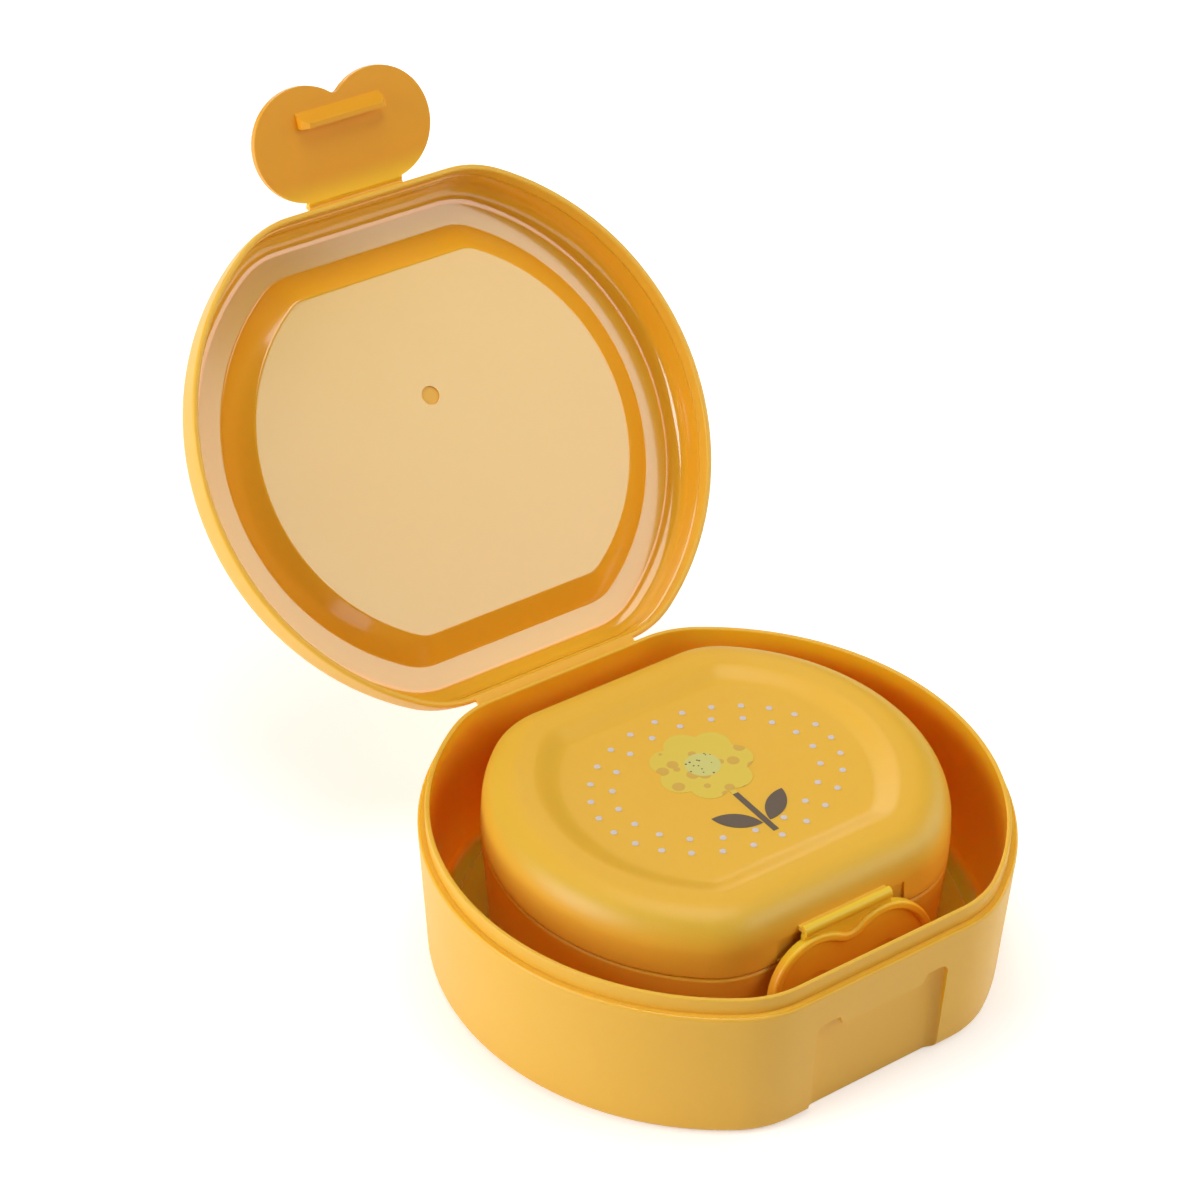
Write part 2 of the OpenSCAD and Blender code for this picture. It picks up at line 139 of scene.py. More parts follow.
def block(name, low, high, backRounding=0, steps=6):
    pickNone()
    low, high = Vector(low) * mm, Vector(high) * mm
    bpy.ops.mesh.primitive_cube_add(size=1, location=(low + high) / 2, scale=high - low)
    obj = bpy.context.object
    obj.name = obj.data.name = name
    bpy.ops.object.transform_apply(location=True, rotation=True, scale=True)
    if backRounding:  # of the two upright edges at the back
        bpy.ops.object.mode_set(mode="EDIT")
        bpy.ops.mesh.select_all(action="DESELECT")
        bpy.ops.mesh.select_mode(type="EDGE")
        bpy.ops.object.mode_set(mode="OBJECT")
        for edge in obj.data.edges:
            a, b = (obj.data.vertices[v].co for v in edge.vertices)
            upright = abs(a.x - b.x) < samePlace and abs(a.y - b.y) < samePlace
            edge.select = upright and a.y > (low.y + high.y) / 2
        bpy.ops.object.mode_set(mode="EDIT")
        bpy.ops.mesh.bevel(offset=backRounding * mm, segments=steps, affect="EDGES")
        bpy.ops.mesh.select_mode(type="VERT")
        bpy.ops.object.mode_set(mode="OBJECT")
    return obj


def disc(middle, radius, turn=(0, 0, 0), steps=32):
    # a round cutter that reaches equally far to both sides of its middle
    pickNone()
    bpy.ops.mesh.primitive_cylinder_add(vertices=steps, radius=radius * mm, depth=2 * past * mm,
                                        location=[part * mm for part in middle], rotation=turn)
    return bpy.context.object


def combine(obj, other, how):
    pickOnly(obj)
    bpy.ops.object.modifier_add(type="BOOLEAN")
    step = obj.modifiers[-1]
    step.operation = how
    step.object = other
    bpy.ops.object.modifier_apply(modifier=step.name)
    bpy.data.objects.remove(other)


def softenEdges(obj, width, segments=2):
    # moulded edges are never sharp; the weighted normals keep flat walls flat
    pickOnly(obj)
    bpy.ops.object.modifier_add(type="BEVEL")
    step = obj.modifiers[-1]
    step.width = width * mm
    step.segments = segments
    step.limit_method = "ANGLE"
    step.angle_limit = sharpAngle
    step.use_clamp_overlap = True
    bpy.ops.object.modifier_apply(modifier=step.name)
    bpy.ops.object.shade_smooth_by_angle(angle=sharpAngle)
    bpy.ops.object.modifier_add(type="WEIGHTED_NORMAL")
    step = obj.modifiers[-1]
    step.keep_sharp = True
    bpy.ops.object.modifier_apply(modifier=step.name)


def facesMiddle(at, facing):
    return facing.x * at.x + facing.y * at.y < 0


def coat(obj, plastics, slotOf):
    # slotOf tells from a face's place, in mm, and its normal which of the plastics it has
    for plastic in plastics:
        obj.data.materials.append(plastic)
    for face in obj.data.polygons:
        face.material_index = slotOf(face.center / mm, face.normal)


def foldedBy(y, z, angle):
    # how a thing turns about a fold line that runs along X
    return (Matrix.Translation((0, y * mm, z * mm)) @ Matrix.Rotation(-math.radians(angle), 4, "X")
            @ Matrix.Translation((0, -y * mm, -z * mm)))


def putInPlace(obj, size, *folds):
    matrix = Matrix.Translation(Vector(size["place"]) * mm)
    for fold in folds:
        matrix = matrix @ fold
    pickOnly(obj)
    obj.matrix_world = matrix
    bpy.ops.object.transform_apply(location=True, rotation=True, scale=True)


# materials

def linear(hexCode):
    # an sRGB hex value turned to linear, by the sRGB standard's curve
    parts = [int(hexCode[i:i + 2], 16) / 255 for i in (1, 3, 5)]
    return [p / 12.92 if p <= 0.04045 else ((p + 0.055) / 1.055) ** 2.4 for p in parts] + [1]


def addNode(tree, kind, settings=None, **inputs):
    # an input is named by its socket, or by i and its number where names repeat
    node = tree.nodes.new(kind)
    for key, value in (settings or {}).items():
        setattr(node, key, value)
    for key, value in inputs.items():
        numbered = key[0] == "i" and key[1:].isdigit()
        socket = node.inputs[int(key[1:]) if numbered else key.replace("_", " ")]
        if isinstance(value, bpy.types.NodeSocket):
            tree.links.new(value, socket)
        else:
            socket.default_value = value
    return node


def plasticShader(tree, shader, look):
    place = addNode(tree, "ShaderNodeTexCoord").outputs["Object"]
    cloud = addNode(tree, "ShaderNodeTexNoise", Vector=place, Scale=1 / (look["cloudMm"] * mm),
                    Detail=look["cloudDetail"]).outputs["Fac"]
    tint = addNode(tree, "ShaderNodeMix", {"data_type": "RGBA"}, Factor=cloud,
                   i6=linear(look["colourA"]), i7=linear(look["colourB"]))
    gloss = addNode(tree, "ShaderNodeMapRange", Value=cloud,
                    From_Min=look["cloudLow"], From_Max=look["cloudHigh"],
                    To_Min=look["roughness"] - look["spread"], To_Max=look["roughness"] + look["spread"])
    grain = addNode(tree, "ShaderNodeTexNoise", Vector=place, Scale=1 / (look["grainMm"] * mm),
                    Detail=look["grainDetail"]).outputs["Fac"]
    bump = addNode(tree, "ShaderNodeBump", Strength=look["bump"], Distance=look["grainDeepMm"] * mm,
                   Height=grain)
    tree.links.new(tint.outputs[2], shader.inputs["Base Color"])
    tree.links.new(gloss.outputs[0], shader.inputs["Roughness"])
    tree.links.new(bump.outputs[0], shader.inputs["Normal"])
    shader.inputs["IOR"].default_value = look["ior"]
    shader.inputs["Coat Weight"].default_value = look["polish"]
    shader.inputs["Coat Roughness"].default_value = look["roughness"] / 2
    shader.inputs["Subsurface Weight"].default_value = look["glow"]
    shader.inputs["Subsurface Radius"].default_value = look["glowColour"]
    shader.inputs["Subsurface Scale"].default_value = look["glowMm"] * mm


def plasticMaterial(look):
    mat = bpy.data.materials.new(look["name"])
    mat.use_nodes = True
    plasticShader(mat.node_tree, mat.node_tree.nodes["Principled BSDF"], look)
    return mat


# what all the plastic shares: polypropylene lets light in, and gives it back more orange; the
# mould's grain is finer than 0.5 mm, and is drawn as coarse as it needs to show
plainLook = {"ior": 1.49, "cloudDetail": 3.0, "cloudLow": 0.3, "cloudHigh": 0.7, "spread": 0.03,
             "grainMm": 0.5, "grainDetail": 2.0, "grainDeepMm": 0.05, "bump": 0.08,
             "glow": 0.25, "glowMm": 2, "glowColour": (1, 0.6, 0.1), "polish": 0}
# moulded polypropylene with a fine satin mould finish: soft wide highlights, colour even all over
satinLook = {**plainLook, "name": "moulded_polypropylene_satin", "colourA": "#F6C03F",
             "colourB": "#F4BC3B", "cloudMm": 45, "roughness": 0.42, "bump": 0.10}
# the same plastic against the polished core of the mould: clearer reflections inside
# its colour is painted a little more orange than the outside's: painted shade for the light that bounces
# round inside the lid
coreShadeLook = {**plainLook, "name": "moulded_polypropylene_polished", "colourA": "#FCBC32",
            "colourB": "#FBB82E", "cloudMm": 35, "grainMm": 0.8, "roughness": 0.17, "spread": 0.02,
            "bump": 0.03, "glow": 0.2, "glowColour": (1, 0.5, 0.08), "polish": 1}
# the core's flat faces: the same polished plastic, no more polished than the rest, in a duller, less
# orange colour
# that colour is painted reflection: with the studio mirrored in them, the flat faces read paler, as if
# they showed more of it
flatLitLook = {**coreShadeLook, "name": "moulded_polypropylene_polished_flat_painted_light", "colourA": "#EABB3A",
            "colourB": "#E9B837"}
# down in a cup light comes through the walls too, which the strong glow gives; the deep orange there is
# also painted shade, a more orange colour for the light that bounces round in the cup
cupShadeLook = {**coreShadeLook, "name": "moulded_polypropylene_polished_cup_painted_shade", "colourA": "#FDB42E",
           "colourB": "#FCB02A", "roughness": 0.22, "glow": 1, "glowMm": 8, "polish": 0.3}
# the latch is moulded in the same plastic, a little thicker, so its colour is fuller
latchLook = {**plainLook, "name": "moulded_polypropylene_latch", "colourA": "#F4AE24",
             "colourB": "#F2AA21", "cloudMm": 30, "roughness": 0.38}
# beside its fold it is thin, and light from behind shines through it as clear yellow; that light is
# painted, as a brighter yellow copy of the plastic
backlitStrapLook = {**latchLook, "name": "moulded_polypropylene_strap_painted_backlight", "colourA": "#FFD636",
            "colourB": "#FED232", "clearMm": 1.5, "fadeMm": 9}
# where the strip is thin and flexed it lets light through like the rest; its paler colour is painted
# light, which lifts the shade at its folds
stripLiftLook = {**plainLook, "name": "moulded_polypropylene_hinge_painted_lift", "colourA": "#FAC04A",
             "colourB": "#F8BB42", "cloudMm": 10, "roughness": 0.35, "spread": 0.04}

satinPlastic = plasticMaterial(satinLook)
coreShadePlastic = plasticMaterial(coreShadeLook)
flatLitPlastic = plasticMaterial(flatLitLook)
cupShadePlastic = plasticMaterial(cupShadeLook)
stripLiftPlastic = plasticMaterial(stripLiftLook)
print("materials made")


# the two boxes: what differs between them, with their places and open angles

largeBox = {"name": "outer", "place": (0, 0, 0), "lidOpen": 131, "latchOpen": 70,
            "cornerX": 24.64, "cornerY": 39.6, "cornerR": 28.36,
            "baseHeight": 39, "lidHeight": 17, "panelDrop": 5.2,
            "lobeR": 15.4, "lobeX": 11.3, "strapHalf": 14.4, "rollStart": -180}
smallBox = {"name": "inner", "place": (3, 4.6, 2.2), "lidOpen": 0, "latchOpen": 12,
            "cornerX": 22.848, "cornerY": 28.336, "cornerR": 22.9,
            "baseHeight": 29.5, "lidHeight": 16.3, "panelDrop": 2,
            "lobeR": 14.6, "lobeX": 10.4, "strapHalf": 13.2, "rollStart": -262}
for box in (largeBox, smallBox):
    box["halfDepth"] = box["cornerY"] + box["cornerR"]


# bases

baseShape = {"draft": 1.9, "wall": 1.7, "skin": 1.6, "footR": 2.4, "footLean": 4, "coveR": 2.5,
             "border": 6.5, "rise": 0.6, "end": 14, "steps": 6,
             "lipHeight": 4.3, "lipInset": 1.9, "lipWall": 1.2, "lipR": 0.4, "lipSteps": 4,
             "shoulderR": 0.8, "edge": 0.3,
             "recessHalf": 20, "recessIn": 4, "recessR": 3, "recessTopR": 2.5,
             "ledgeHalf": 12.2, "ledgeSlant": 1.1, "ledgeGap": 0.35, "notchRise": 2.9,
             "ribDrop": 21.4, "foldHeight": 8.4,
             "shelfHalf": 25, "shelfOut": 0.6, "shelfT": 1.2, "shelfTop": 0.6,
             "floorFacing": 0.8, "roofFacing": -0.1}


def buildBase(size, s):
    h = size["baseHeight"]
    lipIn = s["lipInset"] + s["lipWall"]
    inside = s["draft"] + s["wall"]
    ringIn = s["draft"] + s["border"]
    steps, lipSteps, lipR = s["steps"], s["lipSteps"], s["lipR"]
    top = h + s["lipHeight"] - lipR
    section = [(s["end"], 0)]
    section += sectionArc(s["draft"] + s["footR"], s["footR"], s["footR"], -90, -s["footLean"], steps)
    section += sectionArc(s["shoulderR"], h - s["shoulderR"], s["shoulderR"], 0, 90, steps)
    section += [(s["lipInset"], h)]
    section += sectionArc(s["lipInset"] + lipR, top, lipR, 0, 90, lipSteps)
    section += sectionArc(lipIn - lipR, top, lipR, 90, 180, lipSteps)
    section += sectionArc(inside + s["coveR"], s["skin"] + s["coveR"], s["coveR"], 0, -90, steps)
    section += [(ringIn, s["skin"]), (ringIn + s["rise"], s["skin"] + s["rise"])]
    section += [(s["end"], s["skin"] + s["rise"])]
    obj = sweepRound(size["name"] + "BaseShell", section, size, sweepShape)

    front = -size["halfDepth"]
    ledge = h + s["foldHeight"] - s["ribDrop"] + s["ledgeGap"]
    high = ledge + s["notchRise"]
    half, r = s["recessHalf"], s["recessTopR"]
    back = front + s["recessIn"]
    pad = block("pad", (-half - s["wall"], back - s["wall"] / 2, s["skin"] / 2),
                (half + s["wall"], back + s["wall"], high + s["wall"]))
    combine(obj, pad, "UNION")
    shelf = block("shelf", (-s["shelfHalf"], -front - past, h - s["shelfTop"] - s["shelfT"]),
                  (s["shelfHalf"], -front + s["shelfOut"], h - s["shelfTop"]))
    combine(obj, shelf, "UNION")
    slanted = s["ledgeHalf"] + s["ledgeSlant"]
    opening = [(half, -past)] + arcPoints(half - r, high - r, r, 0, 90, steps)
    opening += [(slanted, high), (s["ledgeHalf"], ledge), (-s["ledgeHalf"], ledge), (-slanted, high)]
    opening += arcPoints(r - half, high - r, r, 90, 180, steps) + [(-half, -past)]
    recess = pushedBack("recess", opening, front - past, s["recessIn"] + 2 * past)
    plan = block("plan", (-half, front - 2 * past, -2 * past), (half, back, h), s["recessR"])
    combine(recess, plan, "INTERSECT")
    combine(obj, recess, "DIFFERENCE")
    softenEdges(obj, s["edge"])

    def inCup(at, facing):
        # the floor from above, and the wall's faces that look to the middle
        looksIn = facing.z > s["floorFacing"] or facesMiddle(at, facing)
        return int(s["skin"] / 2 < at.z < h and facing.z > s["roofFacing"] and looksIn)

    # inside the cup the plastic is the copy with painted shade
    coat(obj, (satinPlastic, cupShadePlastic), inCup)
    putInPlace(obj, size)
    return obj


for box, body in ((largeBox, "outer_box"), (smallBox, "inner_box")):
    obj = buildBase(box, baseShape)
    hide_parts(box["name"] + "_base")
    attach(obj, body)
print("bases built")


# lids

lidShape = {"rimGap": 0.15, "rimIn": 1.6, "rimR": 0.8, "rimSteps": 6, "rimInnerR": 0.6, "rimInnerSteps": 4,
            "sideHeight": 6.5, "draft": 0.2, "domeR": 9.8, "innerR": 4.8, "domeSteps": 14,
            "skin": 1.6, "stepTop": 4.6, "lap": 0.2, "edge": 0.25,
            "ringEnd": 13, "panelStart": 20.4, "end": 21, "panelSteps": 16, "slopeR": 1.2, "slopeSteps": 5,
            "seatHalf": 19.5, "seatIn": 0.7, "seatLow": 0.9,
            "foldHeight": 8.4, "shelfT": 1.2, "shelfOut": 0.6, "shelfDeep": 1.5,
            "gateR": 2.6, "gateY": -12.5, "gateDepth": 0.5,
            "hingeHalf": 25, "hingeOut": 1.9, "hingeDrop": 1, "barGapR": 0.76, "knuckleR": 1.6,
            "wrapStart": 42, "wrapEnd": 122, "wrapInEnd": 141, "wrapSteps": 6,
            "slopeFacing": 0.3, "flatFacing": -0.999, "roofMargin": 0.1}


def softStep(start, end, high, drop, steps):
    # a slope that eases out of one level and into the next
    return [(start + (end - start) * i / steps, high - drop * (1 - math.cos(math.pi * i / steps)) / 2)
            for i in range(steps + 1)]


def crispStep(start, end, high, drop, radius, steps):
    # a straight slope between two flats, with both bends rounded to a small radius
    lean = math.atan2(drop, end - start)
    cut = radius * math.tan(lean / 2)
    turns = [lean * i / steps for i in range(steps + 1)]
    upper = [(start - cut + radius * math.sin(t), high - radius * (1 - math.cos(t))) for t in turns]
    return upper + [(start + end - x, 2 * high - drop - z) for x, z in reversed(upper)]


def lidFold(size, s):
    return size["halfDepth"] + s["hingeOut"], size["baseHeight"] - s["hingeDrop"]


def buildLid(size, s):
    h, drop, base = size["lidHeight"], size["panelDrop"], size["baseHeight"]
    domeR, innerR, rimR, rimInnerR = s["domeR"], s["innerR"], s["rimR"], s["rimInnerR"]
    top = h - s["skin"]
    sideIn = s["rimIn"] + s["draft"] + s["lap"]
    section = [(s["end"], h - drop)]
    section += reversed(softStep(s["ringEnd"], s["panelStart"], h, drop, s["panelSteps"]))
    section += sectionArc(s["draft"] + domeR, h - domeR, domeR, 90, 0, s["domeSteps"])
    section += [(0, s["sideHeight"] / 2)]
    section += sectionArc(rimR, s["rimGap"] + rimR, rimR, 0, -90, s["rimSteps"])
    section += sectionArc(s["rimIn"] - rimInnerR, s["rimGap"] + rimInnerR, rimInnerR, -90, -180,
                          s["rimInnerSteps"])
    section += [(s["rimIn"], s["stepTop"]), (sideIn, s["stepTop"] + s["lap"])]
    section += sectionArc(sideIn + innerR, top - innerR, innerR, 0, 90, s["domeSteps"])
    section += crispStep(s["ringEnd"], s["panelStart"], top, drop, s["slopeR"], s["slopeSteps"])
    section += [(s["end"], top - drop)]
    section = [(inset, z + base) for inset, z in section]
    obj = sweepRound(size["name"] + "LidShell", section, size, sweepShape)

    front = -size["halfDepth"]
    foldZ = base + s["foldHeight"]
    shelf = block("shelf", (-size["strapHalf"], front - s["shelfOut"], foldZ - s["shelfT"] / 2),
                  (size["strapHalf"], front + s["shelfDeep"], foldZ + s["shelfT"] / 2))
    combine(obj, shelf, "UNION")
    seat = block("seat", (-s["seatHalf"], front - past, base + s["seatLow"]),
                 (s["seatHalf"], front + s["seatIn"], foldZ - s["shelfT"]))
    combine(obj, seat, "DIFFERENCE")
    panelIn = base + top - drop
    combine(obj, disc((0, s["gateY"], panelIn - past + s["gateDepth"]), s["gateR"]), "DIFFERENCE")

    # the lid's edge wraps round the fold of its hinge strip
    hy, hz = lidFold(size, s)
    tabY, tabZ = -s["hingeOut"] - past, s["hingeDrop"] + s["rimGap"]
    outline = arcPoints(0, 0, s["knuckleR"], s["wrapStart"], s["wrapEnd"], s["wrapSteps"])
    outline += [(tabY, tabZ + s["shelfT"]), (tabY, tabZ)]
    outline += arcPoints(0, 0, s["barGapR"], s["wrapInEnd"], s["wrapStart"], s["wrapSteps"])
    wrap = pushedAcross("wrap", [(hy + y, hz + z) for y, z in outline], s["hingeHalf"])
    combine(obj, wrap, "UNION")
    softenEdges(obj, s["edge"])

    def coreSlot(at, facing):
        # the core shapes what looks down or to the middle above the step, except the gate's dimple
        inHeight = base + s["stepTop"] < at.z < base + top + s["roofMargin"]
        looksDown = facing.z < -s["slopeFacing"]
        looksIn = facing.z < s["slopeFacing"] and facesMiddle(at, facing)
        offGate = math.hypot(at.x, at.y - s["gateY"]) > s["gateR"] + s["edge"]
        if inHeight and offGate and (looksDown or looksIn) and abs(at.y) < -front - s["seatIn"]:
            # faces that look straight down get the copy with painted reflection, the rest of the core the
            # copy with painted shade
            return 2 if facing.z < s["flatFacing"] else 1
        return 0

    coat(obj, (satinPlastic, coreShadePlastic, flatLitPlastic), coreSlot)
    putInPlace(obj, size, foldedBy(hy, hz, size["lidOpen"]))
    return obj


for box, body in ((largeBox, "outer_lid"), (smallBox, "inner_lid")):
    obj = buildLid(box, lidShape)
    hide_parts(box["name"] + "_lid")
    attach(obj, body)
print("lids built")


# hinge strips: the CAD solids have the right shape and only get their plastic

# their plastic is the paler copy, with painted light
for box in (largeBox, smallBox):
    for strip in ("_lid_hinge_strip", "_latch_hinge_strip"):
        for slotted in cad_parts[box["name"] + strip].material_slots:
            slotted.material = stripLiftPlastic
print("hinge strips finished")


# latches

latchShape = {"lobeDrop": 16.9, "lobeSteps": 40, "notchR": 2, "notchSteps": 6, "strapNotchR": 5,
              "strapNotchSteps": 8, "strapTop": -1.5, "foldOut": 1.4, "foldHeight": 8.4, "air": 0.4,
              "plate": 1.5, "rim": 2.3, "rimHeight": 1.1, "rimRound": 0.8, "rimSegments": 4,
              "dimpleR": 4.5, "dimpleDeep": 0.4, "edge": 0.3,
              "ribOut": 4, "ribRoot": 4.2, "ribTip": 1.3, "ribHalf": 12.8, "ribDrop": 21.4,
              "ribBury": 0.2, "chamfer": 1.6,
              "rollR": 1.6, "barGapR": 0.76, "rollEnd": -110, "rollInEnd": -55, "rollSteps": 14,
              "rollBury": 0.1, "neckBack": 0.2, "neck": 0.35}


def lobesOutline(size, s, grow, withStrap):
    # two round lobes with the notches between them rounded, or the strap in place of the upper notch
    r, x, drop = size["lobeR"] + grow, size["lobeX"], s["lobeDrop"]

    def notch(radius):
        up = math.sqrt((r + radius) ** 2 - x ** 2)
        return up, math.degrees(math.atan2(up, x))

    lowR, highR = s["notchR"] - grow, s["strapNotchR"] - grow
    low, lean = notch(lowR)
    high, tilt = notch(highR)
    steps = s["lobeSteps"]
    points = arcPoints(0, -drop - low, lowR, lean, 180 - lean, s["notchSteps"])
    if withStrap:
        up = size["strapHalf"]
        start = math.degrees(math.acos((up - x) / r))
        points += arcPoints(-x, -drop, r, 360 - lean, 180 - start, steps)[1:]
        points += [(-up, s["strapTop"]), (up, s["strapTop"])]
        points += arcPoints(x, -drop, r, start, lean - 180, steps)[:-1]
    else:
        points += arcPoints(-x, -drop, r, 360 - lean, tilt, steps)[1:]
        points += arcPoints(0, -drop + high, highR, 180 + tilt, 360 - tilt, s["strapNotchSteps"])[1:]
        points += arcPoints(x, -drop, r, 180 - tilt, lean - 180, steps)[1:-1]
    return points


def latchMaterial(look, thin, fold):
    # the painted backlight: near the fold the strap's shader is a brighter yellow copy, which fades out
    # with the distance from the fold
    mat = plasticMaterial(look)
    tree = mat.node_tree
    place = addNode(tree, "ShaderNodeTexCoord").outputs["Object"]
    fromFold = addNode(tree, "ShaderNodeVectorMath", {"operation": "SUBTRACT"}, i0=place, i1=fold)
    level = addNode(tree, "ShaderNodeVectorMath", {"operation": "MULTIPLY"}, i0=fromFold.outputs[0],
                    i1=(0, 1, 1))
    away = addNode(tree, "ShaderNodeVectorMath", {"operation": "LENGTH"}, i0=level.outputs[0])
    near = addNode(tree, "ShaderNodeMapRange", {"interpolation_type": "SMOOTHSTEP"},
                   Value=away.outputs["Value"], From_Min=thin["clearMm"] * mm,
                   From_Max=thin["fadeMm"] * mm, To_Min=1.0, To_Max=0.0)
    strap = addNode(tree, "ShaderNodeBsdfPrincipled")
    plasticShader(tree, strap, thin)
    both = addNode(tree, "ShaderNodeMixShader", i0=near.outputs[0],
                   i1=tree.nodes["Principled BSDF"].outputs[0], i2=strap.outputs[0])
    tree.links.new(both.outputs[0], tree.nodes["Material Output"].inputs[0])
    return mat


def buildLatch(size, s):
    # drawn hanging straight down, with its fold line on the X axis
    back = s["foldOut"] - s["air"]
    front = back - s["plate"]
    rimFront = front - s["rimHeight"]
    obj = pushedBack(size["name"] + "LatchPlate", lobesOutline(size, s, 0, True), back, -s["plate"])
    rim = pushedBack("rim", lobesOutline(size, s, 0, False), rimFront, s["rimHeight"] + s["plate"] / 2)
    hollow = pushedBack("hollow", lobesOutline(size, s, -s["rim"], False), rimFront - past,
                        s["rimHeight"] + s["plate"] + past)
    combine(rim, hollow, "DIFFERENCE")
    softenEdges(rim, s["rimRound"], s["rimSegments"])
    combine(obj, rim, "UNION")
    for side in (-1, 1):
        middle = (side * size["lobeX"], front + s["dimpleDeep"] - past, -s["lobeDrop"])
        combine(obj, disc(middle, s["dimpleR"], (math.pi / 2, 0, 0)), "DIFFERENCE")

    # the rib is what its plan and its side profile have in common
    root, tip, top = back - s["ribBury"], back + s["ribOut"], -s["ribDrop"]
    half, tipHalf, corner = s["ribHalf"], s["ribHalf"] - s["chamfer"], tip - s["chamfer"]
    plan = [(-half, root), (half, root), (half, corner), (tipHalf, tip), (-tipHalf, tip), (-half, corner)]
    rib = pushed("rib", [(x, y, top) for x, y in plan], (0, 0, -s["ribRoot"]))
    profile = [(back - past, top + past), (tip + past, top + past), (tip, top - s["ribTip"]),
               (back, top - s["ribRoot"]), (back - past, top - s["ribRoot"])]
    combine(rib, pushedAcross("wedge", profile, half + past), "INTERSECT")
    combine(obj, rib, "UNION")

    # the strap rolls forward over the fold of its hinge strip
    neck = front + s["plate"] - s["neckBack"]
    low = s["strapTop"] - s["rollBury"]
    outline = arcPoints(0, 0, s["rollR"], size["rollStart"], s["rollEnd"], s["rollSteps"])
    outline += [(front, low), (neck, low), (neck, s["strapTop"] + s["neck"])]
    outline += arcPoints(0, 0, s["barGapR"], s["rollInEnd"], size["rollStart"], s["rollSteps"])
    combine(obj, pushedAcross("wrap", outline, size["strapHalf"]), "UNION")
    softenEdges(obj, s["edge"])

    foldY, foldZ = -size["halfDepth"] - s["foldOut"], size["baseHeight"] + s["foldHeight"]
    foldPlace = Vector((0, foldY * mm, foldZ * mm))
    onLid = foldedBy(*lidFold(size, lidShape), size["lidOpen"])
    swung = Matrix.Rotation(-math.radians(size["latchOpen"]), 4, "X")
    putInPlace(obj, size, onLid, Matrix.Translation(foldPlace) @ swung)
    fold = Matrix.Translation(Vector(size["place"]) * mm) @ onLid @ foldPlace
    obj.data.materials.append(latchMaterial(latchLook, backlitStrapLook, fold))
    return obj


for box, body in ((largeBox, "outer_latch"), (smallBox, "inner_latch")):
    obj = buildLatch(box, latchShape)
    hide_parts(box["name"] + "_latch")
    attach(obj, body)
print("latches built")


# print on the small lid: a flower with its stem and leaves, and rings of dots

printLook = {"name": "screen_printed_ink", "roughness": 0.45, "bump": 0.1, "grainMm": 0.4,
             "grainDetail": 2.0, "grainDeepMm": 0.02,
             "headX": 3, "headY": 10.6, "headZ": 46, "centreR": 4.6, "petalsR": 13.7,
             "middleY": 4.6, "flatness": 0.79, "stemHalf": 1.2, "stemReach": 32, "dotsFrom": 26.6,
             "spotMm": 4.6, "spotShare": 0.36, "speckMm": 1.5, "speckShare": 0.2,
             "petal": "#E9CB4D", "spot": "#DDB04A", "centre": "#D9D27A", "stem": "#6B5B4B",
             "dot": "#DCCFCB"}


